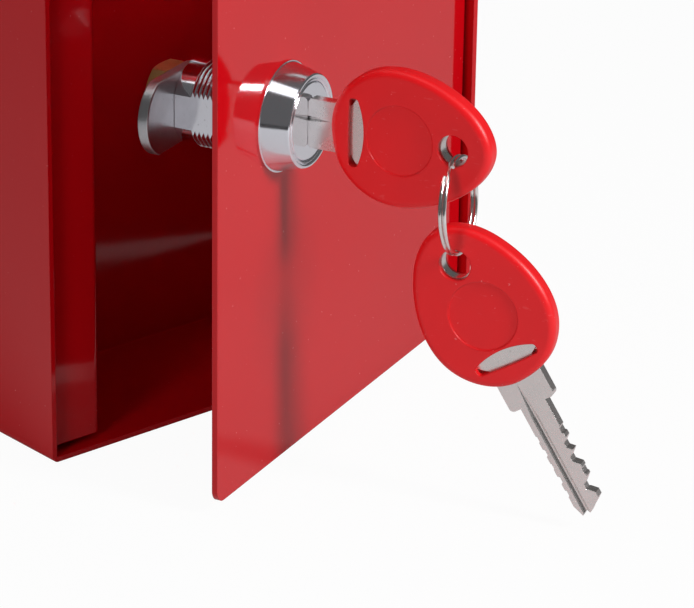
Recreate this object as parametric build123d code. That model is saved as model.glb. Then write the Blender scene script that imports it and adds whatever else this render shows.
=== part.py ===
"""Wall-mounted emergency key box with a cam lock, two keys and a split ring.

The box stands upright with its back to the wall: +X is right, +Y goes into the wall and +Z is up.
The origin is the middle of the four wall-fixing holes, on the back face. All sizes are millimetres.
The door and everything on it are built with the door shut and then swung open by DOOR_OPEN.
"""
import os
from math import atan2, cos, pi, radians, sin, sqrt, tan

from build123d import *

# Cabinet
CASE_W = 120.0
CASE_H = 150.0
CASE_D = 40.0
SHEET = 1.2
BEND_INNER_R = 0.4
FIX_SPACING_X = 80.0
FIX_SPACING_Z = 100.0
FIX_HOLE_R = 2.25

# Catch strip behind the free edge of the door
CATCH_W = 13.4
CATCH_BACK = 20.5
CATCH_END_GAP = 1.5
DOOR_REST_GAP = 0.5

# Key hook on the back wall
HOOK_FROM_TOP = 26.0
HOOK_REACH = 14.0
HOOK_RISE = 7.5
HOOK_WIDTH = 5.0
HOOK_PLATE_W = 14.0
HOOK_PLATE_H = 18.0
HOOK_BEND_R = 2.0

# Door and hinge
DOOR_OPEN = 22.0
DOOR_INSET = 0.5
DOOR_SIDE_GAP = 0.6
DOOR_END_GAP = 0.8
DOOR_CORNER_R = 3.0
HINGE_FROM_SIDE = 7.0
HINGE_BEHIND_FACE = 3.7
HINGE_WALL_GAP = 0.35
EAR_REACH = 8.5
EAR_RUN = 5.5
PIN_R = 1.5
PIN_HEAD_R = 2.8
PIN_HEAD_T = 0.9
PIN_HEAD_ROUND = 0.7  # share of the head's thickness
PIN_PAST_EAR = 0.8
PIN_FIT = 0.05
WASHER_R = 3.0
WASHER_FIT = 0.05

# Window. Its pane and clips clear the catch strip when the door is shut
GLASS_CLEAR = 0.8
WINDOW_H = 28.0
WINDOW_FROM_TOP = 10.5
WINDOW_R = 2.0
PANE_T = 2.0
PANE_LAP = 3.0
PANE_FIT = 0.1
RAIL_T = 0.8
RAIL_FLANGE = 4.5
RAIL_LIP = 2.6
RAIL_CLEAR = 0.3
CLIP_W = 12.0

# Lock body. Depths along the lock are measured from the door's outer face, positive into the box
LOCK_FROM_SIDE = 29.7
LOCK_BELOW_WINDOW = 31.5
COLLAR_H = 6.5
COLLAR_BASE_R = 11.6
COLLAR_FACE_R = 9.85
COLLAR_FOOT = 0.5
# Rolled rim of the collar, as (outwards, inwards) in quarters of the rim's width
RIM_PROFILE = ((0, 1), (1, 0.5), (1.6, 1), (2, 0.33), (2.6, 0), (3.4, 0), (4, 0.7))
BARREL_R = 9.3
BARREL_L = 20.0
BARREL_NECK = 3.0
THREAD_PITCH = 1.0
THREAD_DEPTH = 0.55
THREAD_START = 1.6
FLATS = 16.0
HOLE_FIT = 0.12
NUT_FLATS = 22.0
NUT_T = 4.0
NUT_CHAMFER = 0.6
NUT_FIT = 0.05
TOOTH_T = 0.8
TOOTH_COUNT = 16
TOOTH_DEPTH = 1.0

# Plug
PLUG_R = 6.0
PLUG_HEAD_R = 8.2
PLUG_HEAD_T = 1.5
PLUG_SINK = 0.25
PLUG_FIT = 0.05
STUD_R = 4.0
STUD_FLATS = 6.4
STUD_PAST_NUT = 0.7
STUD_FIT = 0.05
KEYWAY_FIT = 0.05
KEYWAY_END = 0.5

# Wafers
WAFER_COUNT = 5
WAFER_FIRST = 1.0
WAFER_PITCH = 3.2
WAFER_T = 0.8
WAFER_W = 5.0
WAFER_FIT = 0.05
WAFER_WINDOW_FIT = 0.1
WAFER_LUG = 1.5
WAFER_LUG_H = 0.9
SPRING_R = 0.6
SPRING_BORE_R = 0.35
SPRING_L = 3.4
WAFER_CHANNEL_W = 5.6
WAFER_CHANNEL_R = 7.3

# Cam and what holds it
STOP_RIM_W = 1.3
STOP_RIM_H = 0.9
STOP_TAB_W = 3.0
STOP_ANGLE = 90.0
STOP_FIT = 0.15
LAYER_GAP = 0.05
CAM_T = 2.4
CAM_HALF_W = 7.8
CAM_REACH = 19.0
CAM_TIP_R = 8.6
CAM_EDGE_R = 0.35
SPRING_WASHER_R = 6.6
SPRING_WASHER_T = 1.5
SPRING_WASHER_SLIT = 1.0
CAM_NUT_FLATS = 13.0
CAM_NUT_T = 4.0
CAM_NUT_CHAMFER = 0.5

# Keys. Along a key, distances run from the ring hole towards the tip
BOW_MID = 9.7
BOW_HALF_L = 17.8
BOW_HALF_W = 14.3
BOW_TAPER = 0.18
BOW_T = 4.6
BOW_EDGE_R = 1.5
BOW_POINTS = 12
CORE_MARGIN = 3.2
BOW_HOLE_R = 3.35
CORE_HOLE_R = 3.1
DISC_FROM_HOLE = 11.9
DISC_R = 7.4
DISC_DEPTH = 0.3
SLOT_FROM_HOLE = 22.2
SLOT_L = 14.6
SLOT_END_W = 1.8
SLOT_TIP_SIDE = 0.25
SLOT_HOLE_SIDE = 1.5
SLOT_CORNER_R = 0.8
BLADE_T = 2.3
NECK_HALF_W = 5.3
SHOULDER = 32.9
SHOULDER_R = 1.0
BLADE_HALF_W = 3.0
BLADE_L = 25.6
BLADE_ROOT = 1.0
TIP_L = 2.5
TIP_BACK = 2.1
TIP_FRONT = 0.4
TIP_NOTCH = 0.7
CUT_MOUTH = 1.0
CUT_FLAT = 1.1
CUT_SLOPE = 48.0
CUT_DEPTHS = (0.35, 1.0, 1.25, 0.25, 1.5)
BACK_CUT_DEPTHS = (0.25, 0.4, 0.2, 0.45, 0.3)
GROOVE_W = 1.6
GROOVE_FLOOR_W = 0.3
GROOVE_DEPTH = 0.55
GROOVE_START = 27.6
GROOVE_TAPER = 8.0
GROOVE_OFFSET = 1.0
GROOVE_POINT = 0.05  # share of the section that the groove starts with

# Split ring and how it hangs
RING_WIRE_R = 0.35
RING_TURNS = 2
RING_TURN_GAP = 0.45
RING_SLACK = 0.4
HOLE_TO_HOLE = 24.2
RING_LEAN = 2.1
RING_YAW = 6.0
SPARE_TILT = 31.5

# Places worked out from the sizes above
BEND_OUTER_R = BEND_INNER_R + SHEET
LEFT = -CASE_W / 2
RIGHT = CASE_W / 2
BOTTOM = -CASE_H / 2
TOP = CASE_H / 2
FRONT = -CASE_D
BACK_INNER = -SHEET
DOOR_FRONT = FRONT + DOOR_INSET
DOOR_REAR = DOOR_FRONT + SHEET
DOOR_LEFT = LEFT + SHEET + DOOR_SIDE_GAP
DOOR_BOTTOM = BOTTOM + SHEET + DOOR_END_GAP
DOOR_TOP = TOP - SHEET - DOOR_END_GAP
HINGE_X = RIGHT - HINGE_FROM_SIDE
HINGE_Y = DOOR_FRONT + HINGE_BEHIND_FACE
HINGE_SWEEP = HINGE_FROM_SIDE - SHEET - HINGE_WALL_GAP
DOOR_RIGHT = HINGE_X + sqrt(HINGE_SWEEP**2 - HINGE_BEHIND_FACE**2)
CATCH_FRONT = DOOR_REAR + DOOR_REST_GAP
CATCH_EDGE = LEFT + SHEET + CATCH_W
PANE_FRONT = DOOR_REAR + PANE_FIT
PANE_REAR = PANE_FRONT + PANE_T
WINDOW_TOP = DOOR_TOP - WINDOW_FROM_TOP
WINDOW_BOTTOM = WINDOW_TOP - WINDOW_H
WINDOW_LEFT = CATCH_EDGE + GLASS_CLEAR + RAIL_FLANGE + PANE_FIT + PANE_LAP
WINDOW_RIGHT = -WINDOW_LEFT
LOCK_X = LEFT + LOCK_FROM_SIDE
LOCK_Z = WINDOW_BOTTOM - LOCK_BELOW_WINDOW
PLUG_FACE = -COLLAR_H + PLUG_SINK
PLUG_SEAT = PLUG_FACE + PLUG_HEAD_T
KEYWAY_H = 2 * (BLADE_HALF_W + KEYWAY_FIT)
KEYWAY_W = BLADE_T + 2 * KEYWAY_FIT
KEYWAY_DEEP = PLUG_FACE + BLADE_L + KEYWAY_END
STOP_TOP = BARREL_L + STOP_RIM_H
CAM_FRONT = STOP_TOP + LAYER_GAP
CAM_REAR = CAM_FRONT + CAM_T
SPRING_WASHER_REAR = CAM_REAR + SPRING_WASHER_T
CAM_NUT_REAR = SPRING_WASHER_REAR + CAM_NUT_T
STUD_END = CAM_NUT_REAR + STUD_PAST_NUT
RING_DROP = CORE_HOLE_R - RING_WIRE_R - RING_SLACK
RING_PITCH = 2 * RING_WIRE_R + RING_TURN_GAP
RING_R = HOLE_TO_HOLE / 2 - RING_DROP
KEY_HOLE = PLUG_FACE - LAYER_GAP - SHOULDER
HINGE_AXIS = Axis((HINGE_X, HINGE_Y, 0), (0, 0, 1))
LOCK_PLACE = Pos(LOCK_X, DOOR_FRONT, LOCK_Z)
SAME_PLACE = 0.01


def span(x0, x1, y0, y1, z0, z1):
    """A box given by its two corners."""
    return Pos((x0 + x1) / 2, (y0 + y1) / 2, (z0 + z1) / 2) * Box(x1 - x0, y1 - y0, z1 - z0)


def rod_y(radius, y0, y1, x=0.0, z=0.0):
    """A cylinder along Y."""
    return Pos(x, (y0 + y1) / 2, z) * Rot(X=90) * Cylinder(radius, y1 - y0)


def rod_z(radius, z0, z1, x=0.0, y=0.0):
    """A cylinder along Z."""
    return Pos(x, y, (z0 + z1) / 2) * Cylinder(radius, z1 - z0)


def turned(points):
    """A solid turned about Y from a closed outline of (radius, depth) points."""
    return revolve(make_face(Polyline(*points, close=True)), Axis.Y)


def slab_y(outline, y0, y1):
    """An outline drawn in X and Z, made solid from y0 to y1."""
    placed = Plane(origin=(0, y0, 0), x_dir=(1, 0, 0), z_dir=(0, -1, 0)) * outline
    return extrude(placed, amount=y1 - y0, dir=(0, 1, 0))


def hexagon(flats):
    """A hexagon of a given width across flats."""
    return RegularPolygon(flats / 2, 6, major_radius=False)


def double_d(radius, flats):
    """A round outline with two flat sides."""
    return Circle(radius) & Rectangle(flats, 2 * radius)


def opened(shape):
    """Swing a piece of the shut door to where the open door holds it."""
    return shape.rotate(HINGE_AXIS, DOOR_OPEN)


def cabinet_shell():
    """Folded tray with an open front, two hinge holes and four holes for wall screws."""
    body = span(LEFT, RIGHT, FRONT, 0, BOTTOM, TOP)
    body = fillet(body.edges().filter_by(Axis.Z).group_by(Axis.Y)[-1], BEND_OUTER_R)
    body = fillet(body.edges().group_by(Axis.Y)[-1], BEND_OUTER_R)
    room = span(LEFT + SHEET, RIGHT - SHEET, FRONT, BACK_INNER, BOTTOM + SHEET, TOP - SHEET)
    body -= fillet(room.edges().group_by(Axis.Y)[-1], BEND_INNER_R)
    body -= rod_z(PIN_R, BOTTOM, TOP, HINGE_X, HINGE_Y)
    for x in (-FIX_SPACING_X / 2, FIX_SPACING_X / 2):
        for z in (-FIX_SPACING_Z / 2, FIX_SPACING_Z / 2):
            body -= rod_y(FIX_HOLE_R, BACK_INNER, 0, x, z)
    return body


def catch_strip():
    """Folded strip inside the free side: the door closes on its face, the cam hooks behind its edge."""
    x0 = LEFT + SHEET
    x1 = CATCH_EDGE
    z0 = BOTTOM + SHEET + CATCH_END_GAP
    z1 = TOP - SHEET - CATCH_END_GAP
    back = DOOR_FRONT + CATCH_BACK
    outer = span(x0, x1, CATCH_FRONT, back, z0, z1)
    outer = fillet(outer.edges().filter_by(Axis.Z).group_by(Axis.Y)[0], BEND_OUTER_R)
    hollow = span(x0 + SHEET, x1 - SHEET, CATCH_FRONT + SHEET, back, z0, z1)
    hollow = fillet(hollow.edges().filter_by(Axis.Z).group_by(Axis.Y)[0], BEND_INNER_R)
    return outer - hollow


def key_hook():
    """Bent strip hook on a small plate, welded to the back wall."""
    z = TOP - HOOK_FROM_TOP
    plate = span(-HOOK_PLATE_W / 2, HOOK_PLATE_W / 2, BACK_INNER - SHEET, BACK_INNER,
                 z - HOOK_PLATE_H / 2, z + HOOK_PLATE_H / 2)
    plate = fillet(plate.edges().filter_by(Axis.Y), HOOK_BEND_R)
    tip_y = BACK_INNER - HOOK_REACH
    path = FilletPolyline((0, BACK_INNER - SHEET, z), (0, tip_y, z), (0, tip_y, z + HOOK_RISE),
                          radius=HOOK_BEND_R)
    section = Plane(origin=path @ 0, x_dir=(1, 0, 0), z_dir=(0, -1, 0)) * Rectangle(HOOK_WIDTH, SHEET)
    return plate + sweep(section, path=path)


def hinge_pins():
    """Two riveted pins, one through the floor and one through the roof."""
    end = DOOR_BOTTOM + SHEET + PIN_PAST_EAR
    low = rod_z(PIN_R, BOTTOM, end, HINGE_X, HINGE_Y)
    head = rod_z(PIN_HEAD_R, BOTTOM - PIN_HEAD_T, BOTTOM, HINGE_X, HINGE_Y)
    low += fillet(head.edges().group_by(Axis.Z)[0], PIN_HEAD_T * PIN_HEAD_ROUND)
    return [low, mirror(low, about=Plane.XY)]


def hinge_washers():
    """Two plain washers that space the door's ears from the floor and the roof."""
    z0 = BOTTOM + SHEET
    low = rod_z(WASHER_R, z0, DOOR_BOTTOM - WASHER_FIT, HINGE_X, HINGE_Y)
    low -= rod_z(PIN_R, z0, DOOR_BOTTOM, HINGE_X, HINGE_Y)
    return [low, mirror(low, about=Plane.XY)]


def door_ear():
    """The lower hinge ear, bent back from the door's bottom edge."""
    tab = span(HINGE_X - EAR_RUN, DOOR_RIGHT, DOOR_REAR, DOOR_FRONT + EAR_REACH,
               DOOR_BOTTOM, DOOR_BOTTOM + SHEET)
    tab = fillet(tab.edges().filter_by(Axis.Z).group_by(Axis.Y)[-1], DOOR_CORNER_R)
    reach = rod_z(HINGE_SWEEP, DOOR_BOTTOM, DOOR_BOTTOM + SHEET, HINGE_X, HINGE_Y)
    tab -= span(HINGE_X, RIGHT, DOOR_REAR, BACK_INNER, DOOR_BOTTOM, DOOR_BOTTOM + SHEET) - reach
    return tab - rod_z(PIN_R + PIN_FIT, DOOR_BOTTOM, DOOR_BOTTOM + SHEET, HINGE_X, HINGE_Y)


def door_panel():
    """Flat door with a window, a hole for the lock and two hinge ears."""
    panel = span(DOOR_LEFT, DOOR_RIGHT, DOOR_FRONT, DOOR_REAR, DOOR_BOTTOM, DOOR_TOP)
    panel = fillet(panel.edges().filter_by(Axis.Y).group_by(Axis.X)[0], DOOR_CORNER_R)
    window = span(WINDOW_LEFT, WINDOW_RIGHT, DOOR_FRONT, DOOR_REAR, WINDOW_BOTTOM, WINDOW_TOP)
    panel -= fillet(window.edges().filter_by(Axis.Y), WINDOW_R)
    hole = Pos(LOCK_X, LOCK_Z) * double_d(BARREL_R + HOLE_FIT, FLATS + 2 * HOLE_FIT)
    panel -= slab_y(hole, DOOR_FRONT, DOOR_REAR)
    ear = door_ear()
    return panel + ear + mirror(ear, about=Plane.XY)


def glass_pane():
    """Pane behind the window, held by its rails and clips."""
    return span(WINDOW_LEFT - PANE_LAP, WINDOW_RIGHT + PANE_LAP, PANE_FRONT, PANE_REAR,
                WINDOW_BOTTOM - PANE_LAP, WINDOW_TOP + PANE_LAP)


def holder_outline(edge):
    """Section of a folded holder in (depth, offset): a flange on the door, a shelf and a lip."""
    inner = edge - PANE_FIT
    back = PANE_REAR + PANE_FIT
    return [(DOOR_REAR, inner - RAIL_FLANGE), (DOOR_REAR, inner), (back, inner),
            (back, inner + RAIL_LIP), (back + RAIL_T, inner + RAIL_LIP), (back + RAIL_T, inner - RAIL_T),
            (DOOR_REAR + RAIL_T, inner - RAIL_T), (DOOR_REAR + RAIL_T, inner - RAIL_FLANGE)]


def glass_rail():
    """The lower rail: the pane stands in its fold."""
    points = [(0, y, z) for y, z in holder_outline(WINDOW_BOTTOM - PANE_LAP)]
    face = make_face(Polyline(*points, close=True))
    length = WINDOW_RIGHT - WINDOW_LEFT + 2 * (PANE_LAP - RAIL_CLEAR)
    return Pos(X=-length / 2) * extrude(face, amount=length, dir=(1, 0, 0))


def window_mirror(shape):
    """The same piece on the other side of the window's middle height."""
    return mirror(shape, about=Plane.XY.offset((WINDOW_TOP + WINDOW_BOTTOM) / 2))


def glass_clips():
    """Two end clips that keep the pane from sliding out of its rails."""
    points = [(x, y, 0) for y, x in holder_outline(WINDOW_LEFT - PANE_LAP)]
    face = make_face(Polyline(*points, close=True))
    middle = (WINDOW_TOP + WINDOW_BOTTOM) / 2
    clip = Pos(Z=middle - CLIP_W / 2) * extrude(face, amount=CLIP_W, dir=(0, 0, 1))
    return [clip, mirror(clip, about=Plane.YZ)]


def barrel_outline():
    """Threaded outside of the lock body, as (radius, depth) points with one ridge per pitch."""
    points = [(BARREL_R, 0), (BARREL_R, THREAD_START)]
    ridges = int((BARREL_L - BARREL_NECK - THREAD_START) / THREAD_PITCH)
    for i in range(ridges):
        start = THREAD_START + i * THREAD_PITCH
        points.append((BARREL_R - THREAD_DEPTH, start + THREAD_PITCH / 2))
        points.append((BARREL_R, start + THREAD_PITCH))
    points.append((BARREL_R - THREAD_DEPTH, BARREL_L - BARREL_NECK))
    points.append((BARREL_R - THREAD_DEPTH, BARREL_L))
    return points


def lock_housing():
    """Lock body: bright tapered collar, threaded barrel with two flats, wafer channels and stop rim."""
    lip_r = PLUG_HEAD_R + PLUG_FIT
    bead = (COLLAR_FACE_R - lip_r) / 4
    seat = [(PLUG_R + PLUG_FIT, PLUG_SEAT), (lip_r, PLUG_SEAT)]
    rim = [(lip_r + out * bead, -COLLAR_H + deep * bead) for out, deep in RIM_PROFILE]
    foot = [(COLLAR_BASE_R - COLLAR_FOOT / 2, -COLLAR_FOOT), (COLLAR_BASE_R, -COLLAR_FOOT),
            (COLLAR_BASE_R, 0)]
    body = turned(seat + rim + foot + barrel_outline() + [(PLUG_R + PLUG_FIT, BARREL_L)])
    for side in (-1, 1):
        x0, x1 = sorted((side * FLATS / 2, side * FLATS))
        body -= span(x0, x1, 0, BARREL_L, -BARREL_R, BARREL_R)
    channel = double_d(WAFER_CHANNEL_R, WAFER_CHANNEL_W)
    body -= slab_y(channel, 0, WAFER_FIRST + WAFER_COUNT * WAFER_PITCH)
    return LOCK_PLACE * (body + stop_rim())


def stop_rim():
    """Raised rim on the rear of the lock body, open where the stop washer's tab travels."""
    outer = BARREL_R - THREAD_DEPTH
    inner = outer - STOP_RIM_W
    ring = slab_y(double_d(outer, FLATS) - Circle(inner), BARREL_L, STOP_TOP)
    far = 2 * outer
    start = atan2(STOP_TAB_W / 2 + STOP_FIT, inner)
    end = -radians(STOP_ANGLE) - start
    corner = (2 * far * cos((start + end) / 2), 2 * far * sin((start + end) / 2))
    wedge = Polyline((0, 0), (far * cos(start), far * sin(start)), corner,
                     (far * cos(end), far * sin(end)), close=True)
    return ring - slab_y(make_face(wedge), BARREL_L, STOP_TOP)


def hexagon_nut(flats, chamfer, bore_r, front, rear):
    """A hexagon nut with chamfered corners, round the lock's axis."""
    corner = flats / 2 / cos(pi / 6)
    cones = turned([(0, front), (flats / 2, front), (corner, front + chamfer),
                    (corner, rear - chamfer), (flats / 2, rear), (0, rear)])
    return (slab_y(hexagon(flats), front, rear) & cones) - rod_y(bore_r, front, rear)


def lock_nut():
    """Large hexagon nut that clamps the lock to the door."""
    front = SHEET + TOOTH_T
    return LOCK_PLACE * hexagon_nut(NUT_FLATS, NUT_CHAMFER, BARREL_R + NUT_FIT, front, front + NUT_T)


def toothed_washer():
    """Toothed washer under the large nut."""
    outer = NUT_FLATS / 2
    disc = Circle(outer)
    for i in range(TOOTH_COUNT):
        disc -= Rot(Z=i * 360 / TOOTH_COUNT) * Pos(X=outer) * Rot(Z=45) * Rectangle(TOOTH_DEPTH, TOOTH_DEPTH)
    return LOCK_PLACE * slab_y(disc - Circle(BARREL_R + NUT_FIT), SHEET, SHEET + TOOTH_T)


def wafer_depth(i):
    """Depth of the middle of wafer i."""
    return WAFER_FIRST + i * WAFER_PITCH


def lug_span(i, half_t, grow, low, high):
    """A box beside wafer i, where its lug and spring stand."""
    x0 = WAFER_W / 2
    return span(x0 - grow, x0 + WAFER_LUG + grow, wafer_depth(i) - half_t, wafer_depth(i) + half_t, low, high)


def lock_plug():
    """Turning core: polished face, keyway, wafer slots and the threaded stud that carries the cam."""
    chamfer_w = PLUG_SINK
    body = turned([(0, PLUG_FACE), (PLUG_HEAD_R - chamfer_w, PLUG_FACE), (PLUG_HEAD_R, PLUG_FACE + chamfer_w),
                   (PLUG_HEAD_R, PLUG_SEAT - LAYER_GAP), (PLUG_R, PLUG_SEAT - LAYER_GAP), (PLUG_R, BARREL_L),
                   (0, BARREL_L)])
    body += slab_y(double_d(STUD_R, STUD_FLATS), BARREL_L, STUD_END)
    body -= span(-KEYWAY_W / 2, KEYWAY_W / 2, PLUG_FACE, KEYWAY_DEEP, -KEYWAY_H / 2, KEYWAY_H / 2)
    for i in range(WAFER_COUNT):
        half_t = WAFER_T / 2 + WAFER_FIT
        half_w = WAFER_W / 2 + WAFER_FIT
        body -= span(-half_w, half_w, wafer_depth(i) - half_t, wafer_depth(i) + half_t, -PLUG_R, PLUG_R)
        body -= lug_span(i, SPRING_R + WAFER_FIT, WAFER_FIT, -SPRING_L / 2 - WAFER_FIT,
                         SPRING_L / 2 + WAFER_LUG_H + WAFER_FIT)
    return LOCK_PLACE * body


def wafer(i):
    """Flat sliding plate with a window for the blade and a lug for its spring."""
    y0 = wafer_depth(i) - WAFER_T / 2
    y1 = y0 + WAFER_T
    plate = slab_y(double_d(PLUG_R - WAFER_FIT, WAFER_W), y0, y1)
    plate += lug_span(i, WAFER_T / 2, 0, SPRING_L / 2, SPRING_L / 2 + WAFER_LUG_H)
    half_h = BLADE_HALF_W + WAFER_WINDOW_FIT
    half_w = BLADE_T / 2 + WAFER_WINDOW_FIT
    return LOCK_PLACE * (plate - span(-half_w, half_w, y0, y1, -half_h, half_h))


def wafer_springs():
    """One small spring under each wafer's lug, drawn as the tube that its turns fill."""
    x = WAFER_W / 2 + WAFER_LUG / 2
    springs = []
    for i in range(WAFER_COUNT):
        coil = rod_z(SPRING_R, -SPRING_L / 2, SPRING_L / 2, x, wafer_depth(i))
        coil -= rod_z(SPRING_BORE_R, -SPRING_L / 2, SPRING_L / 2, x, wafer_depth(i))
        springs.append(LOCK_PLACE * coil)
    return springs


def stud_hole(y0, y1):
    """The stud's double-D hole through a piece that turns with the plug."""
    return slab_y(double_d(STUD_R + STUD_FIT, STUD_FLATS + 2 * STUD_FIT), y0, y1)


def stop_washer():
    """Washer whose tab meets the ends of the stop rim after a quarter turn."""
    y0 = BARREL_L + LAYER_GAP
    rim_outer = BARREL_R - THREAD_DEPTH
    inner = rim_outer - STOP_RIM_W
    disc = rod_y(inner - STOP_FIT, y0, STOP_TOP)
    tab = span(0, rim_outer, y0, STOP_TOP, -STOP_TAB_W / 2, STOP_TAB_W / 2)
    return LOCK_PLACE * (disc + (tab & rod_y(rim_outer, y0, STOP_TOP)) - stud_hole(y0, STOP_TOP))


def cam_lever():
    """Flat lever that hooks behind the catch strip. It points to the free side when locked."""
    tip_mid = CAM_REACH - CAM_TIP_R
    lever = Circle(CAM_HALF_W) + Pos(X=-tip_mid / 2) * Rectangle(tip_mid, 2 * CAM_HALF_W)
    tip = Pos(X=-tip_mid) * Circle(CAM_TIP_R)
    tip &= Pos(X=-CAM_REACH / 2) * Rectangle(CAM_REACH, 2 * CAM_HALF_W)
    solid = slab_y(lever + tip, CAM_FRONT, CAM_REAR)
    rims = solid.edges().group_by(Axis.Y)
    solid = fillet(rims[0] + rims[-1], CAM_EDGE_R)
    return LOCK_PLACE * (solid - stud_hole(CAM_FRONT, CAM_REAR))


def spring_washer():
    """Split spring washer between the lever and its nut."""
    ring = Circle(SPRING_WASHER_R) - Circle(STUD_R + STUD_FIT)
    slit = Pos(Y=SPRING_WASHER_R) * Rectangle(SPRING_WASHER_SLIT, 2 * SPRING_WASHER_R)
    return LOCK_PLACE * slab_y(ring - slit, CAM_REAR, SPRING_WASHER_REAR)


def cam_nut():
    """Yellow-plated nut on the plug's stud."""
    return LOCK_PLACE * hexagon_nut(CAM_NUT_FLATS, CAM_NUT_CHAMFER, STUD_R + STUD_FIT,
                                    SPRING_WASHER_REAR, CAM_NUT_REAR)


def bow_outline(margin=0.0):
    """Egg outline of the key's head, wide towards the blade. X runs along the key."""
    points = []
    for i in range(BOW_POINTS):
        a = 2 * pi * i / BOW_POINTS
        x = BOW_MID + (BOW_HALF_L - margin) * cos(a)
        y = (BOW_HALF_W - margin) * sin(a) * (1 + BOW_TAPER * cos(a))
        points.append((x, y))
    return make_face(Spline(*points, periodic=True))


def flat_z(outline, thickness):
    """An outline in the key's plane, made solid evenly about it."""
    return extrude(outline, amount=thickness / 2, both=True)


def core_plate():
    """The part of the steel key that the plastic head is moulded round."""
    neck = Pos(X=(BOW_MID + SHOULDER) / 2) * Rectangle(SHOULDER - BOW_MID, 2 * NECK_HALF_W)
    return flat_z(bow_outline(CORE_MARGIN) + neck, BLADE_T)


def cut_tool(place, edge, depth):
    """A bitting cut with a flat floor and sloping sides, at one place along an edge of the blade."""
    run = (depth + CUT_MOUTH) / tan(radians(CUT_SLOPE))
    side = 1 if edge > 0 else -1
    floor = edge - side * depth
    mouth = edge + side * CUT_MOUTH
    points = [(place - CUT_FLAT / 2, floor), (place + CUT_FLAT / 2, floor),
              (place + CUT_FLAT / 2 + run, mouth), (place - CUT_FLAT / 2 - run, mouth)]
    return flat_z(make_face(Polyline(*points, close=True)), 2 * BLADE_T)


def groove_section(x, share):
    """Section of the blade's groove with sloping walls, at one place along the key."""
    wall = share * GROOVE_W / 2
    floor = share * GROOVE_FLOOR_W / 2
    face = BLADE_T / 2
    low = face - share * GROOVE_DEPTH
    high = face + GROOVE_DEPTH
    points = [(x, y - GROOVE_OFFSET, z) for y, z in
              ((-wall, high), (-wall, face), (-floor, low), (floor, low), (wall, face), (wall, high))]
    return make_face(Polyline(*points, close=True))


def blade_groove():
    """Long milled groove in one face of the blade, running out to a point in the neck."""
    full = GROOVE_START + GROOVE_TAPER
    end = SHOULDER + BLADE_L
    sections = [groove_section(GROOVE_START, GROOVE_POINT), groove_section(full, 1), groove_section(end, 1)]
    return loft(sections, ruled=True)


def key_blade():
    """Flat steel key: core, neck, shoulders, bitting on both edges and a groove in each face."""
    start = SHOULDER - BLADE_ROOT
    end = SHOULDER + BLADE_L
    points = [(start, BLADE_HALF_W), (end - TIP_L, BLADE_HALF_W), (end, TIP_BACK),
              (end - TIP_NOTCH, GROOVE_OFFSET), (end, TIP_FRONT), (end - TIP_L, -BLADE_HALF_W),
              (start, -BLADE_HALF_W)]
    blade = core_plate() + flat_z(make_face(Polyline(*points, close=True)), BLADE_T)
    upright = blade.edges().filter_by(Axis.Z)
    outermost = upright.filter_by(lambda e: abs(abs(e.center().Y) - NECK_HALF_W) < SAME_PLACE)
    blade = fillet(outermost.filter_by(lambda e: abs(e.center().X - SHOULDER) < SAME_PLACE), SHOULDER_R)
    for i in range(WAFER_COUNT):
        place = SHOULDER + wafer_depth(i) - PLUG_FACE
        blade -= cut_tool(place, -BLADE_HALF_W, CUT_DEPTHS[i % len(CUT_DEPTHS)])
        blade -= cut_tool(place, BLADE_HALF_W, BACK_CUT_DEPTHS[i % len(BACK_CUT_DEPTHS)])
    groove = blade_groove()
    blade -= groove
    blade -= Rot(X=180) * groove
    return blade - flat_z(Circle(CORE_HOLE_R), BLADE_T)


def head_slot():
    """Outline of the head's window: nearly straight towards the tip, bowed towards the hole, round ends."""
    tip_side = SLOT_FROM_HOLE + SLOT_END_W / 2
    hole_side = SLOT_FROM_HOLE - SLOT_END_W / 2
    half = SLOT_L / 2
    edges = [ThreePointArc((tip_side, -half), (tip_side + SLOT_TIP_SIDE, 0), (tip_side, half)),
             Line((tip_side, half), (hole_side, half)),
             ThreePointArc((hole_side, half), (hole_side - SLOT_HOLE_SIDE, 0), (hole_side, -half)),
             Line((hole_side, -half), (tip_side, -half))]
    outline = make_face(Curve() + edges)
    return fillet(outline.vertices(), SLOT_CORNER_R)


def key_head():
    """Moulded plastic head with a plain sunk disc, a window to the steel and the ring hole."""
    head = flat_z(bow_outline(), BOW_T)
    head = fillet(head.edges(), BOW_EDGE_R)
    head -= core_plate()
    head -= flat_z(Circle(BOW_HOLE_R), BOW_T)
    disc = Pos(X=DISC_FROM_HOLE) * Circle(DISC_R)
    head -= flat_z(head_slot(), BOW_T)
    for z in (BOW_T / 2 - DISC_DEPTH, -BOW_T / 2):
        head -= Pos(Z=z) * extrude(disc, amount=DISC_DEPTH)
    return head


def lock_key_place():
    """Plane of the key that is in the lock: its ring hole is the origin and X runs into the lock."""
    return Plane(origin=(LOCK_X, DOOR_FRONT + KEY_HOLE, LOCK_Z), x_dir=(0, 1, 0), z_dir=(1, 0, 0))


def spare_key_place():
    """Plane of the hanging key, square to the ring and under the first key but for the ring's lean."""
    down = radians(RING_LEAN)
    hole = Vector(LOCK_X, DOOR_FRONT + KEY_HOLE - HOLE_TO_HOLE * sin(down), LOCK_Z - HOLE_TO_HOLE * cos(down))
    tilt = radians(SPARE_TILT)
    yaw = radians(RING_YAW)
    run = (sin(yaw) * sin(tilt), -cos(yaw) * sin(tilt), -cos(tilt))
    return Plane(origin=hole, x_dir=run, z_dir=(cos(yaw), sin(yaw), 0))


def ring_point(turn):
    """A point of the ring's wire after a number of turns, the ring lying flat round Z."""
    a = 2 * pi * turn
    return Vector(RING_R * cos(a), RING_R * sin(a), RING_PITCH * (turn - RING_TURNS / 2))


def ring_direction(turn):
    """The wire's direction at the same place."""
    a = 2 * pi * turn
    return Vector(-sin(a), cos(a), RING_PITCH / (2 * pi * RING_R)).normalized()


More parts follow.
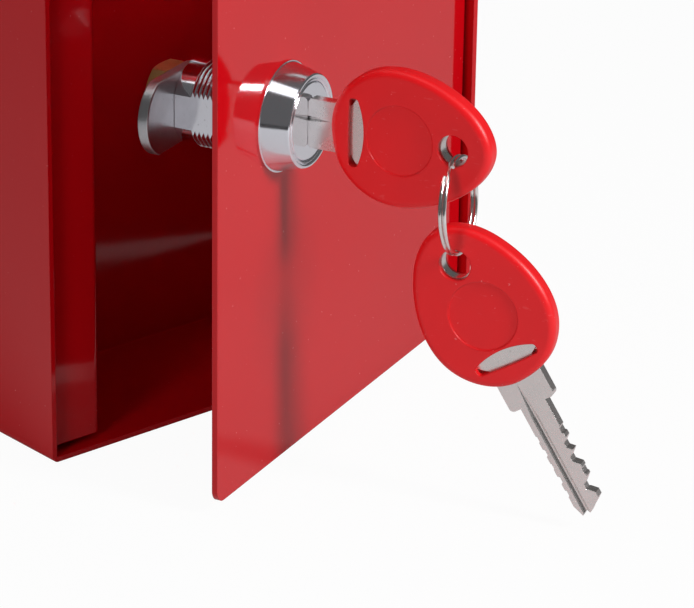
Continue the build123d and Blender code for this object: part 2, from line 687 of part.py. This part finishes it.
def ring_wire():
    """The ring's turns, each half turn as a biarc: two arcs that share their end directions."""
    arcs = []
    for i in range(2 * RING_TURNS):
        start = ring_point(i / 2)
        end = ring_point((i + 1) / 2)
        leave = ring_direction(i / 2)
        arrive = ring_direction((i + 1) / 2)
        chord = end - start
        along = chord.dot(leave + arrive)
        spread = 2 * (1 - leave.dot(arrive))
        reach = (sqrt(along**2 + spread * chord.dot(chord)) - along) / spread
        joint = (start + leave * reach + end - arrive * reach) * 0.5
        arcs.append(TangentArc(start, joint, tangent=leave))
        arcs.append(TangentArc(joint, end, tangent=(end - arrive * reach - joint).normalized()))
    return Wire(arcs)


def split_ring():
    """Split key ring of two turns, hanging in the first key's hole and carrying the spare key."""
    path = ring_wire()
    section = Plane(origin=path @ 0, z_dir=path % 0) * Circle(RING_WIRE_R)
    ring = sweep(section, path=path)
    first = lock_key_place().origin
    second = spare_key_place().origin
    middle = (first + second) * 0.5
    yaw = radians(RING_YAW)
    across = Vector(cos(yaw), sin(yaw), 0)
    up = (first - second).normalized()
    normal = across.cross(up).normalized()
    return Plane(origin=middle, x_dir=across, z_dir=normal) * ring


def print_ring_gap():
    """Least gap between the two turns, measured on points of the wire's path."""
    path = ring_wire()
    count = 480
    points = [path.position_at(i / count) for i in range(count + 1)]
    apart = count // 4
    least = min((points[i] - points[j]).length for i in range(count + 1) for j in range(i + apart, count + 1))
    print("split ring: least gap to itself", round(least - 2 * RING_WIRE_R, 3), "mm")


def save(name, solids):
    """Write one node; a group of like pieces goes in as separate solids."""
    if isinstance(solids, list):
        shape = Compound(children=[part for s in solids for part in s.solids()])
    else:
        parts = solids.solids()
        shape = parts[0] if len(parts) == 1 else Compound(children=list(parts))
    export_step(shape, f"parts/{name}.step")


def main():
    os.makedirs("parts", exist_ok=True)
    save("cabinet_shell", cabinet_shell())
    save("catch_strip", catch_strip())
    save("key_hook", key_hook())
    save("hinge_pins", hinge_pins())
    save("hinge_washers", hinge_washers())
    rail = glass_rail()
    on_door = {
        "door_panel": door_panel(),
        "glass_pane": glass_pane(),
        "glass_rail_lower": rail,
        "glass_rail_upper": window_mirror(rail),
        "glass_clips": glass_clips(),
        "lock_housing": lock_housing(),
        "lock_nut": lock_nut(),
        "toothed_washer": toothed_washer(),
        "lock_plug": lock_plug(),
        "wafer_springs": wafer_springs(),
        "stop_washer": stop_washer(),
        "cam_lever": cam_lever(),
        "spring_washer": spring_washer(),
        "cam_nut": cam_nut(),
        "split_ring": split_ring(),
    }
    for i in range(WAFER_COUNT):
        on_door[f"wafer_{i + 1}"] = wafer(i)
    blade = key_blade()
    head = key_head()
    for name, place in (("lock_key", lock_key_place()), ("spare_key", spare_key_place())):
        on_door[f"{name}_blade"] = place * blade
        on_door[f"{name}_head"] = place * head
    for name, shape in on_door.items():
        pieces = shape if isinstance(shape, list) else [shape]
        save(name, [opened(piece) for piece in pieces])
    print_ring_gap()


main()
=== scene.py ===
"""Looks of a wall-mounted key box: finishes for each piece, a soft white studio and the camera.

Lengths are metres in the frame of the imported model: +X right, +Y into the wall, +Z up.
"""
from math import cos, pi, radians, sin

import bpy
import numpy
from bpy.props import FloatProperty, FloatVectorProperty, PointerProperty
from bpy.types import Operator, Panel, PropertyGroup
from mathutils import Matrix, Vector


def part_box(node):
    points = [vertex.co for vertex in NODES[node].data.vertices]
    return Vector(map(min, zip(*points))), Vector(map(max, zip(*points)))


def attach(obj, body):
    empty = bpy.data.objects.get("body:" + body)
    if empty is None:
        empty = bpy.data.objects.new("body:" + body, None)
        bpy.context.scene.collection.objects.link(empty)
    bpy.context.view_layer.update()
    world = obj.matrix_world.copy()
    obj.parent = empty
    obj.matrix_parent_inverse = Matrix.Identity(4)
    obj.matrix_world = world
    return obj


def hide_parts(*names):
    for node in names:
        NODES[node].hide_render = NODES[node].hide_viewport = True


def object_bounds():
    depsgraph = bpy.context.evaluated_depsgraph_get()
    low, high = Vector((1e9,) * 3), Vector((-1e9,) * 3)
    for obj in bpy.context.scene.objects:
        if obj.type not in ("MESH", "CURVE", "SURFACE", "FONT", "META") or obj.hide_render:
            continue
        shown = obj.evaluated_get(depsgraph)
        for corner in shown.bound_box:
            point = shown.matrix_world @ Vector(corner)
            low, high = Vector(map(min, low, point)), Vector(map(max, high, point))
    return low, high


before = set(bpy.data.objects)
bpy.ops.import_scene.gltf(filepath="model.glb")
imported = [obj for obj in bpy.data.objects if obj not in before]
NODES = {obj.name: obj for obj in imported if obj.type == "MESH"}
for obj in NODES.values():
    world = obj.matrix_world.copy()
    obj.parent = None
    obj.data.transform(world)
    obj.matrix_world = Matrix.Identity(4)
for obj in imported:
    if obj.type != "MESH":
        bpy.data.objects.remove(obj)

bl_info = {
    "name": "Key box looks",
    "version": (1, 0, 0),
    "blender": (4, 5, 0),
    "location": "View3D > Sidebar > Key Box",
    "description": "Finishes, studio and camera for a wall-mounted key box",
    "category": "Object",
}

CAD_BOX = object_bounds()
MM = 0.001

RING_POINTS = 241
RING_STEP = radians(14.0)
WIRE_ROUNDNESS = 4

BEVEL_SAMPLES = 6
METAL_EDGE_SHARE = 0.6
PLASTIC_EDGE_SHARE = 1.8

SPECK_COLOR = (0.7, 0.35, 0.35, 1.0)
SCUFF_COLOR = (0.9, 0.35, 0.35, 1.0)
NYLON_DARK = (0.72, 0.71, 0.66, 1.0)
NYLON_PALE = (0.84, 0.83, 0.78, 1.0)
FLOOR_COLOR = (0.70, 0.70, 0.71, 1.0)

WIRE_ROUGHNESS = 0.12
YELLOW_ZINC_COLOR = (0.74, 0.56, 0.22)
YELLOW_ZINC_ROUGHNESS = 0.3
BRASS_COLOR = (0.78, 0.57, 0.26)
BRASS_ROUGHNESS = 0.32

# Each lamp's direction from the lock, its distance, its width and its height.
KEY_LAMP = ((0.276, -0.801, 0.530), 0.9, 0.15, 0.26)
TOP_LAMP = ((-0.204, -0.095, 0.974), 0.8, 1.0, 0.32)
SIDE_LAMP = ((-0.90, -0.36, 0.24), 1.0, 0.25, 0.25)

CLOTH_CENTRE_X = -2.5
CLOTH_CENTRE_Y = -0.5
CLOTH_HALF_SIDE = 2.0
CLOTH_LIFT = 1 * MM
CLOTH_SHADE = 0.04

PHOTO_WIDTH_PX = 694
PHOTO_FOCAL_PX = 3674.0
SENSOR_MM = 36.0


class Term:
    """A node socket that arithmetic works on. Each operation adds its Math node."""

    def __init__(self, sheet, socket):
        self.sheet = sheet
        self.socket = socket

    def math(self, operation, *values):
        return self.sheet.add("ShaderNodeMath", {"operation": operation}, dict(enumerate(values)))

    def __add__(self, other):
        return self.math("ADD", self, other)

    __radd__ = __add__

    def __sub__(self, other):
        return self.math("SUBTRACT", self, other)

    def __rsub__(self, other):
        return self.math("SUBTRACT", other, self)

    def __mul__(self, other):
        return self.math("MULTIPLY", self, other)

    __rmul__ = __mul__

    def at_least(self, other):
        return self.math("MAXIMUM", self, other)

    def between(self, low, high):
        """0 below low, 1 above high, smooth in between."""
        return self.sheet.add("ShaderNodeMapRange", {"interpolation_type": "SMOOTHSTEP"},
                              {"Value": self, "From Min": low, "From Max": high})


class NodeSheet:
    """A node tree that is filled from Python, one node per call of add."""

    def __init__(self, tree):
        self.tree = tree
        tree.nodes.clear()

    def add(self, kind, settings=None, sockets=None, output=0):
        node = self.tree.nodes.new(kind)
        for name, value in (settings or {}).items():
            setattr(node, name, value)
        for name, value in (sockets or {}).items():
            if isinstance(value, Term):
                self.tree.links.new(value.socket, node.inputs[name])
            else:
                node.inputs[name].default_value = value
        return Term(self, node.outputs[output]) if node.outputs else None

    def place(self):
        """Where a point lies in the model's frame, riding along with its piece."""
        return self.add("ShaderNodeTexCoord", output="Object")

    def noise(self, grain, detail=2.0, stretch=(1.0, 1.0, 1.0)):
        """Noise whose features are about as large as grain."""
        vector = self.add("ShaderNodeVectorMath", {"operation": "MULTIPLY"}, {0: self.place(), 1: stretch})
        return self.add("ShaderNodeTexNoise", None,
                        {"Vector": vector, "Scale": 1 / grain, "Detail": detail})

    def blend(self, amount, first, second):
        """Colour between two colours."""
        return self.add("ShaderNodeMix", {"data_type": "RGBA"}, {0: amount, 6: first, 7: second}, output=2)

    def soft_edges(self, radius):
        """Normal of a surface whose edges are rounded by radius."""
        return self.add("ShaderNodeBevel", {"samples": BEVEL_SAMPLES}, {"Radius": radius})

    def bump(self, height, depth, normal):
        return self.add("ShaderNodeBump", None,
                        {"Height": height, "Distance": depth, "Strength": 1.0, "Normal": normal})


def rgba(color, scale=1.0):
    """A colour with its alpha, optionally made darker or lighter."""
    return (*(min(1.0, c * scale) for c in color), 1.0)


def new_finish(name):
    material = bpy.data.materials.new(name)
    material.use_nodes = True
    return material, NodeSheet(material.node_tree)


def close_finish(sheet, sockets):
    shader = sheet.add("ShaderNodeBsdfPrincipled", None, sockets)
    sheet.add("ShaderNodeOutputMaterial", None, {"Surface": shader})


def gloss_paint(settings):
    """Red powder coat: glossy, faintly orange-peeled, with a few fine specks of dust."""
    material, sheet = new_finish("red_gloss_paint")
    clouds = sheet.noise(45 * MM, 3.0)
    peel = sheet.noise(1.6 * MM, 1.0)
    fine = sheet.noise(0.35 * MM, 2.0)
    specks = sheet.noise(0.55 * MM, 0.0).between(0.84, 0.88)
    base = sheet.blend(clouds, rgba(settings.paint_color, 0.96), rgba(settings.paint_color, 1.04))
    base = sheet.blend(specks * 0.12, base, SPECK_COLOR)
    normal = sheet.bump(peel + fine * 0.08, settings.paint_peel, sheet.soft_edges(settings.edge_radius))
    close_finish(sheet, {"Base Color": base, "Normal": normal, "IOR": 1.45,
                         "Roughness": settings.paint_roughness + clouds * 0.04 + specks * 0.2})
    return material


def plated_metal(name, color, roughness, settings, grain, depth, mottle=0.06, stretch=(1.0, 1.0, 1.0)):
    """Plated metal: mottled colour and gloss, fine grain and small dull spots."""
    material, sheet = new_finish(name)
    clouds = sheet.noise(4 * MM, 4.0)
    fine = sheet.noise(grain, 3.0, stretch)
    spots = sheet.noise(0.7 * MM, 1.0).between(0.7, 0.78)
    base = sheet.blend(clouds, rgba(color, 1 - mottle), rgba(color, 1 + mottle))
    base = sheet.blend(spots * 0.5, base, rgba(color, 0.7))
    normal = sheet.bump(fine, depth, sheet.soft_edges(settings.edge_radius * METAL_EDGE_SHARE))
    close_finish(sheet, {"Base Color": base, "Metallic": 1.0, "Normal": normal,
                         "Roughness": roughness + fine * 0.05 + clouds * 0.03 + spots * 0.12})
    return material


def bright_chrome(settings):
    return plated_metal("polished_chrome", settings.chrome_color, settings.chrome_roughness, settings,
                        0.35 * MM, 0.0012 * MM, 0.02)


def zinc_plate(settings):
    return plated_metal("bright_zinc", settings.zinc_color, settings.zinc_roughness, settings,
                        0.45 * MM, 0.025 * MM, 0.2)


def nickel_plate(settings):
    return plated_metal("satin_nickel", settings.nickel_color, settings.nickel_roughness, settings,
                        0.3 * MM, 0.0012 * MM, 0.05)


def spring_wire(settings):
    return plated_metal("bright_spring_wire", settings.nickel_color, WIRE_ROUGHNESS, settings,
                        0.25 * MM, 0.001 * MM, 0.04)


def yellow_zinc(settings):
    return plated_metal("yellow_zinc", YELLOW_ZINC_COLOR, YELLOW_ZINC_ROUGHNESS, settings,
                        0.4 * MM, 0.005 * MM, 0.12)


def stamped_brass(settings):
    return plated_metal("stamped_brass", BRASS_COLOR, BRASS_ROUGHNESS, settings,
                        0.35 * MM, 0.005 * MM, 0.08)


def moulded_plastic(settings):
    """Red key-head plastic: satin, with fine mould texture, scuffs and pale specks."""
    material, sheet = new_finish("moulded_red_plastic")
    clouds = sheet.noise(9 * MM, 3.0)
    skin = sheet.noise(0.5 * MM, 3.0)
    dents = sheet.noise(2.4 * MM, 2.0)
    specks = sheet.noise(0.8 * MM, 1.0).between(0.75, 0.79)
    scuffs = sheet.noise(1.2 * MM, 2.0, (1.0, 0.25, 1.6)).between(0.68, 0.76)
    base = sheet.blend(clouds, rgba(settings.plastic_color, 0.93), rgba(settings.plastic_color, 1.06))
    base = sheet.blend(specks * 0.4 + scuffs * 0.1, base, SCUFF_COLOR)
    edges = sheet.soft_edges(settings.edge_radius * PLASTIC_EDGE_SHARE)
    normal = sheet.bump(skin + dents * 1.4, 0.012 * MM, edges)
    close_finish(sheet, {"Base Color": base, "Normal": normal, "IOR": 1.47,
                         "Roughness": settings.plastic_roughness + clouds * 0.08 + scuffs * 0.12})
    return material


def white_nylon(settings):
    """Natural nylon of the hinge washers."""
    material, sheet = new_finish("natural_nylon")
    clouds = sheet.noise(2 * MM, 3.0)
    base = sheet.blend(clouds, NYLON_DARK, NYLON_PALE)
    normal = sheet.bump(clouds, 0.01 * MM, sheet.soft_edges(settings.edge_radius))
    close_finish(sheet, {"Base Color": base, "Normal": normal, "Roughness": 0.42 + clouds * 0.1})
    return material


def clear_pane(settings):
    """Thin float glass with a faint smear that shows only in its gloss."""
    material, sheet = new_finish("clear_pane")
    smear = sheet.noise(20 * MM, 3.0, (1.0, 1.0, 0.4)).between(0.45, 0.8)
    close_finish(sheet, {"Base Color": rgba(settings.glass_color), "Transmission Weight": 1.0, "IOR": 1.5,
                         "Roughness": smear * 0.05})
    return material


def dress(material, *names):
    """Give CAD nodes one finish."""
    for name in names:
        slots = NODES[name].data.materials
        slots.clear()
        slots.append(material)


class KeyBoxFinishSettings(PropertyGroup):
    """Colours and gloss of the pieces."""

    paint_color: FloatVectorProperty(
        name="Paint", description="Colour of the powder coat", subtype="COLOR", size=3,
        min=0.0, max=1.0, default=(0.55, 0.002, 0.006))
    paint_roughness: FloatProperty(
        name="Paint roughness", description="How dull the powder coat is", subtype="FACTOR",
        min=0.0, max=1.0, default=0.06)
    paint_peel: FloatProperty(
        name="Orange peel", description="Depth of the coat's waves", unit="LENGTH",
        min=0.0, max=0.001, default=0.003 * MM, precision=6)
    chrome_color: FloatVectorProperty(
        name="Chrome", description="Colour of the lock's polished plating", subtype="COLOR", size=3,
        min=0.0, max=1.0, default=(0.88, 0.88, 0.94))
    chrome_roughness: FloatProperty(
        name="Chrome roughness", description="How dull the polished plating is", subtype="FACTOR",
        min=0.0, max=1.0, default=0.08)
    zinc_color: FloatVectorProperty(
        name="Zinc", description="Colour of the plain zinc plating", subtype="COLOR", size=3,
        min=0.0, max=1.0, default=(0.56, 0.56, 0.58))
    zinc_roughness: FloatProperty(
        name="Zinc roughness", description="How dull the zinc plating is", subtype="FACTOR",
        min=0.0, max=1.0, default=0.27)
    nickel_color: FloatVectorProperty(
        name="Nickel", description="Colour of the keys' steel", subtype="COLOR", size=3,
        min=0.0, max=1.0, default=(0.84, 0.80, 0.78))
    nickel_roughness: FloatProperty(
        name="Nickel roughness", description="How dull the keys' steel is", subtype="FACTOR",
        min=0.0, max=1.0, default=0.24)
    plastic_color: FloatVectorProperty(
        name="Plastic", description="Colour of the key heads", subtype="COLOR", size=3,
        min=0.0, max=1.0, default=(0.80, 0.008, 0.012))
    plastic_roughness: FloatProperty(
        name="Plastic roughness", description="How dull the key heads are", subtype="FACTOR",
        min=0.0, max=1.0, default=0.34)
    glass_color: FloatVectorProperty(
        name="Glass", description="Tint of the pane", subtype="COLOR", size=3,
        min=0.0, max=1.0, default=(0.96, 0.985, 0.975))
    ring_split: FloatProperty(
        name="Ring's split", description="Where the wire starts, round the ring from its level axis",
        subtype="ANGLE", default=radians(70.0))
    ring_mouth: FloatProperty(
        name="Ring's mouth", description="How far the wire's two ends stop short of two full turns",
        subtype="ANGLE", default=radians(16.0))
    ring_hairline: FloatProperty(
        name="Ring's hairline", description="Half the gap between the two turns", unit="LENGTH",
        default=0.015 * MM, precision=6)
    edge_radius: FloatProperty(
        name="Edge radius", description="How round the edges look", unit="LENGTH",
        min=0.0, max=0.002, default=0.25 * MM, precision=6)


class KeyBoxStudioSettings(PropertyGroup):
    """Camera, lamps and floor."""

    camera_place: FloatVectorProperty(
        name="Camera place", description="Where the camera stands", subtype="TRANSLATION", unit="LENGTH",
        size=3, default=(-0.48112, -0.60703, 0.25378))
    camera_heading: FloatProperty(
        name="Heading", description="Camera's direction, from the wall's towards the right",
        subtype="ANGLE", default=radians(41.603))
    camera_pitch: FloatProperty(
        name="Pitch", description="How far the camera looks down", subtype="ANGLE", default=radians(22.482))
    camera_roll: FloatProperty(
        name="Roll", description="How far the camera's right side tips up", subtype="ANGLE",
        default=radians(0.917))
    camera_lens: FloatProperty(
        name="Lens", description="Focal length of the camera", unit="CAMERA",
        default=PHOTO_FOCAL_PX * SENSOR_MM / PHOTO_WIDTH_PX)
    key_power: FloatProperty(
        name="Key lamp", description="Power of the small lamp square to the door", unit="POWER", default=6.9)
    top_power: FloatProperty(
        name="Top lamp", description="Power of the soft lamp overhead", unit="POWER", default=1.25)
    side_power: FloatProperty(
        name="Side lamp", description="Power of the soft lamp square to the keys' faces", unit="POWER",
        default=2.9)
    ambient: FloatProperty(
        name="Ambient", description="Light from all round that pieces receive",
        min=0.0, max=2.0, default=0.04)
    room: FloatProperty(
        name="Room", description="How bright the room looks in mirrors", min=0.0, max=2.0, default=0.10)
    floor_white: FloatProperty(
        name="Floor white", description="Share of the floor's look that is plain white",
        subtype="FACTOR", min=0.0, max=1.0, default=0.96)
    floor_size: FloatProperty(
        name="Floor size", description="Side of the floor", unit="LENGTH", default=8.0)


class KEYBOX_OT_cabinet(Operator):
    """Paint the cabinet, its catch strip, the door and the rails of its pane"""

    bl_idname = "keybox.cabinet"
    bl_label = "Cabinet and door"

    def execute(self, context):
        dress(gloss_paint(context.scene.keybox_finish), "cabinet_shell", "catch_strip",
              "door_panel", "glass_rail_lower", "glass_rail_upper")
        return {"FINISHED"}


class KEYBOX_OT_fittings(Operator):
    """Finish the hook, the hinge pins and washers and the pane's clips"""

    bl_idname = "keybox.fittings"
    bl_label = "Hook, hinge and clips"

    def execute(self, context):
        settings = context.scene.keybox_finish
        dress(zinc_plate(settings), "key_hook", "hinge_pins", "glass_clips")
        dress(white_nylon(settings), "hinge_washers")
        return {"FINISHED"}


class KEYBOX_OT_pane(Operator):
    """Finish the window's pane"""

    bl_idname = "keybox.pane"
    bl_label = "Pane"

    def execute(self, context):
        dress(clear_pane(context.scene.keybox_finish), "glass_pane")
        return {"FINISHED"}


class KEYBOX_OT_lock(Operator):
    """Finish the lock's body, plug, cam and fasteners"""

    bl_idname = "keybox.lock"
    bl_label = "Lock"

    def execute(self, context):
        settings = context.scene.keybox_finish
        dress(bright_chrome(settings), "lock_housing", "lock_plug")
        dress(zinc_plate(settings), "lock_nut", "toothed_washer", "stop_washer", "cam_lever",
              "spring_washer", "wafer_springs")
        dress(yellow_zinc(settings), "cam_nut")
        dress(stamped_brass(settings), *(name for name in NODES
                                         if name.startswith("wafer_") and name != "wafer_springs"))
        return {"FINISHED"}


class KEYBOX_OT_keys(Operator):
    """Finish both keys' blades and heads"""

    bl_idname = "keybox.keys"
    bl_label = "Keys and ring"

    def execute(self, context):
        settings = context.scene.keybox_finish
        dress(nickel_plate(settings), "lock_key_blade", "spare_key_blade")
        dress(moulded_plastic(settings), "lock_key_head", "spare_key_head")
        return {"FINISHED"}


def ring_measures(name):
    """Centre, two axes in its plane, its own axis, ring radius and wire radius of a round wire ring."""
    points = numpy.array([vertex.co for vertex in NODES[name].data.vertices])
    centre = points.mean(axis=0)
    spread = numpy.linalg.svd(points - centre, full_matrices=False)[2]
    axis = Vector(spread[2])
    upward = (Vector((0, 0, 1)) - axis * axis.z).normalized()
    flat = points - centre - numpy.outer((points - centre) @ spread[2], spread[2])
    reach = numpy.linalg.norm(flat, axis=1)
    ring_radius = float(reach.max() + reach.min()) / 2
    wire_radius = float(reach.max() - reach.min()) / 2
    return Vector(centre), upward.cross(axis), upward, axis, ring_radius, wire_radius


class KEYBOX_OT_ring(Operator):
    """Make the split ring: two turns of wire that touch, stepping over each other where they end"""

    bl_idname = "keybox.ring"
    bl_label = "Split ring"

    def execute(self, context):
        settings = context.scene.keybox_finish
        centre, across, upward, axis, ring_radius, wire_radius = ring_measures("split_ring")
        data = bpy.data.curves.new("split_ring_turns", "CURVE")
        data.dimensions = "3D"
        data.bevel_depth = wire_radius
        data.bevel_resolution = WIRE_ROUNDNESS
        data.use_fill_caps = True
        start = settings.ring_split
        length = 4 * pi - settings.ring_mouth
        spline = data.splines.new("POLY")
        spline.points.add(RING_POINTS - 1)
        for i, point in enumerate(spline.points):
            run = length * i / (RING_POINTS - 1)
            step = min(1.0, max(-1.0, (run - length / 2) / RING_STEP))
            side = sin(step * pi / 2) * (wire_radius + settings.ring_hairline)
            angle = start + run
            place = centre + (across * cos(angle) + upward * sin(angle)) * ring_radius + axis * side
            point.co = (*place, 1.0)
        ring = bpy.data.objects.new("split_ring_turns", data)
        context.scene.collection.objects.link(ring)
        data.materials.append(spring_wire(settings))
        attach(ring, "ring")
        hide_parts("split_ring")
        return {"FINISHED"}


def seen_directly(sheet):
    """1 for camera and transmission rays, 0 for the rest."""
    camera = sheet.add("ShaderNodeLightPath", output="Is Camera Ray")
    through = sheet.add("ShaderNodeLightPath", output="Is Transmission Ray")
    return camera.at_least(through)


def seen_in_mirrors(sheet):
    return sheet.add("ShaderNodeLightPath", output="Is Glossy Ray")


def plain_glow(sheet, shade):
    return sheet.add("ShaderNodeEmission", None, {"Color": (shade, shade, shade, 1.0), "Strength": 1.0})


def panel_mesh(name, centre, right, up):
    """A flat four-cornered panel from its centre and two half sides."""
    corners = [centre - right - up, centre + right - up, centre + right + up, centre - right + up]
    mesh = bpy.data.meshes.new(name)
    mesh.from_pydata([tuple(c) for c in corners], [], [(0, 1, 2, 3)])
    panel = bpy.data.objects.new(name, mesh)
    bpy.context.scene.collection.objects.link(panel)
    return panel


def make_floor(settings, low):
    side = settings.floor_size / 2
    floor = panel_mesh("floor", Vector((0, 0, low)), Vector((side, 0, 0)), Vector((0, side, 0)))
    material, sheet = new_finish("pale_floor")
    lit = sheet.add("ShaderNodeBsdfDiffuse", None, {"Color": FLOOR_COLOR})
    look = sheet.add("ShaderNodeMixShader", None,
                     {0: seen_directly(sheet) * settings.floor_white, 1: lit, 2: plain_glow(sheet, 1.0)})
    sheet.add("ShaderNodeOutputMaterial", None, {"Surface": look})
    floor.data.materials.append(material)


def make_world(settings):
    world = bpy.data.worlds.new("white_room")
    world.use_nodes = True
    sheet = NodeSheet(world.node_tree)
    direct = seen_directly(sheet)
    mirrored = seen_in_mirrors(sheet)
    strength = direct + mirrored * settings.room + (1.0 - direct - mirrored) * settings.ambient
    light = sheet.add("ShaderNodeBackground", None, {"Color": (1.0, 1.0, 1.0, 1.0), "Strength": strength})
    sheet.add("ShaderNodeOutputWorld", None, {"Surface": light})
    bpy.context.scene.world = world


def make_lamp(name, target, bearing, distance, width, height, power):
    """An area lamp in the direction bearing from target."""
    place = target + Vector(bearing).normalized() * distance
    data = bpy.data.lights.new(name, "AREA")
    data.shape = "RECTANGLE"
    data.size = width
    data.size_y = height
    data.energy = power
    lamp = bpy.data.objects.new(name, data)
    lamp.location = place
    lamp.rotation_euler = (target - place).to_track_quat("-Z", "Y").to_euler()
    lamp.visible_camera = False
    bpy.context.scene.collection.objects.link(lamp)
    return lamp


def make_camera(settings):
    heading = settings.camera_heading
    pitch = settings.camera_pitch
    ahead = Vector((sin(heading) * cos(pitch), cos(heading) * cos(pitch), -sin(pitch)))
    level = Vector((cos(heading), -sin(heading), 0.0))
    above = level.cross(ahead)
    right = level * cos(settings.camera_roll) + above * sin(settings.camera_roll)
    up = above * cos(settings.camera_roll) - level * sin(settings.camera_roll)
    data = bpy.data.cameras.new("camera")
    data.sensor_width = SENSOR_MM
    data.lens = settings.camera_lens
    camera = bpy.data.objects.new("camera", data)
    turn = Matrix((right, up, -ahead)).transposed()
    camera.matrix_world = Matrix.Translation(Vector(settings.camera_place)) @ turn.to_4x4()
    bpy.context.scene.collection.objects.link(camera)
    bpy.context.scene.camera = camera


def make_dark_cloth(low):
    """A dark cloth far to the left that only mirrors see, for the band in the lock's collar."""
    centre = Vector((CLOTH_CENTRE_X, CLOTH_CENTRE_Y, low + CLOTH_LIFT))
    cloth = panel_mesh("dark_cloth", centre, Vector((CLOTH_HALF_SIDE, 0, 0)), Vector((0, CLOTH_HALF_SIDE, 0)))
    material, sheet = new_finish("dark_cloth")
    sheet.add("ShaderNodeOutputMaterial", None, {"Surface": plain_glow(sheet, CLOTH_SHADE)})
    cloth.data.materials.append(material)
    cloth.visible_camera = False
    cloth.visible_diffuse = False
    cloth.visible_shadow = False
    cloth.visible_transmission = False


class KEYBOX_OT_stage(Operator):
    """Make the floor, the world, the lamps, the dark cloth and the camera"""

    bl_idname = "keybox.stage"
    bl_label = "Studio and camera"

    def execute(self, context):
        settings = context.scene.keybox_studio
        low = CAD_BOX[0].z
        lock_low, lock_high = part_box("lock_housing")
        lock = (lock_low + lock_high) / 2
        context.scene.view_settings.view_transform = "Standard"
        make_floor(settings, low)
        make_world(settings)
        make_lamp("key_lamp", lock, *KEY_LAMP, settings.key_power)
        make_lamp("top_lamp", lock, *TOP_LAMP, settings.top_power)
        side = make_lamp("side_lamp", lock, *SIDE_LAMP, settings.side_power)
        side.visible_glossy = False
        make_dark_cloth(low)
        make_camera(settings)
        return {"FINISHED"}


class KEYBOX_PT_sidebar(Panel):
    """The key box's operators and settings"""

    bl_label = "Key box"
    bl_idname = "KEYBOX_PT_sidebar"
    bl_space_type = "VIEW_3D"
    bl_region_type = "UI"
    bl_category = "Key Box"

    def draw(self, context):
        for operator in MAKERS:
            self.layout.operator(operator.bl_idname)
        for group in (context.scene.keybox_finish, context.scene.keybox_studio):
            column = self.layout.column()
            for name in group.__annotations__:
                column.prop(group, name)


MAKERS = (KEYBOX_OT_cabinet, KEYBOX_OT_fittings, KEYBOX_OT_pane, KEYBOX_OT_lock, KEYBOX_OT_keys,
          KEYBOX_OT_ring, KEYBOX_OT_stage)
CLASSES = (KeyBoxFinishSettings, KeyBoxStudioSettings, *MAKERS, KEYBOX_PT_sidebar)


def register():
    for item in CLASSES:
        bpy.utils.register_class(item)
    bpy.types.Scene.keybox_finish = PointerProperty(type=KeyBoxFinishSettings)
    bpy.types.Scene.keybox_studio = PointerProperty(type=KeyBoxStudioSettings)


def unregister():
    del bpy.types.Scene.keybox_studio
    del bpy.types.Scene.keybox_finish
    for item in reversed(CLASSES):
        bpy.utils.unregister_class(item)


def main():
    register()
    bpy.ops.keybox.cabinet()
    bpy.ops.keybox.fittings()
    bpy.ops.keybox.pane()
    bpy.ops.keybox.lock()
    bpy.ops.keybox.keys()
    bpy.ops.keybox.ring()
    bpy.ops.keybox.stage()
    bpy.context.view_layer.update()


if __name__ == "__main__":
    main()
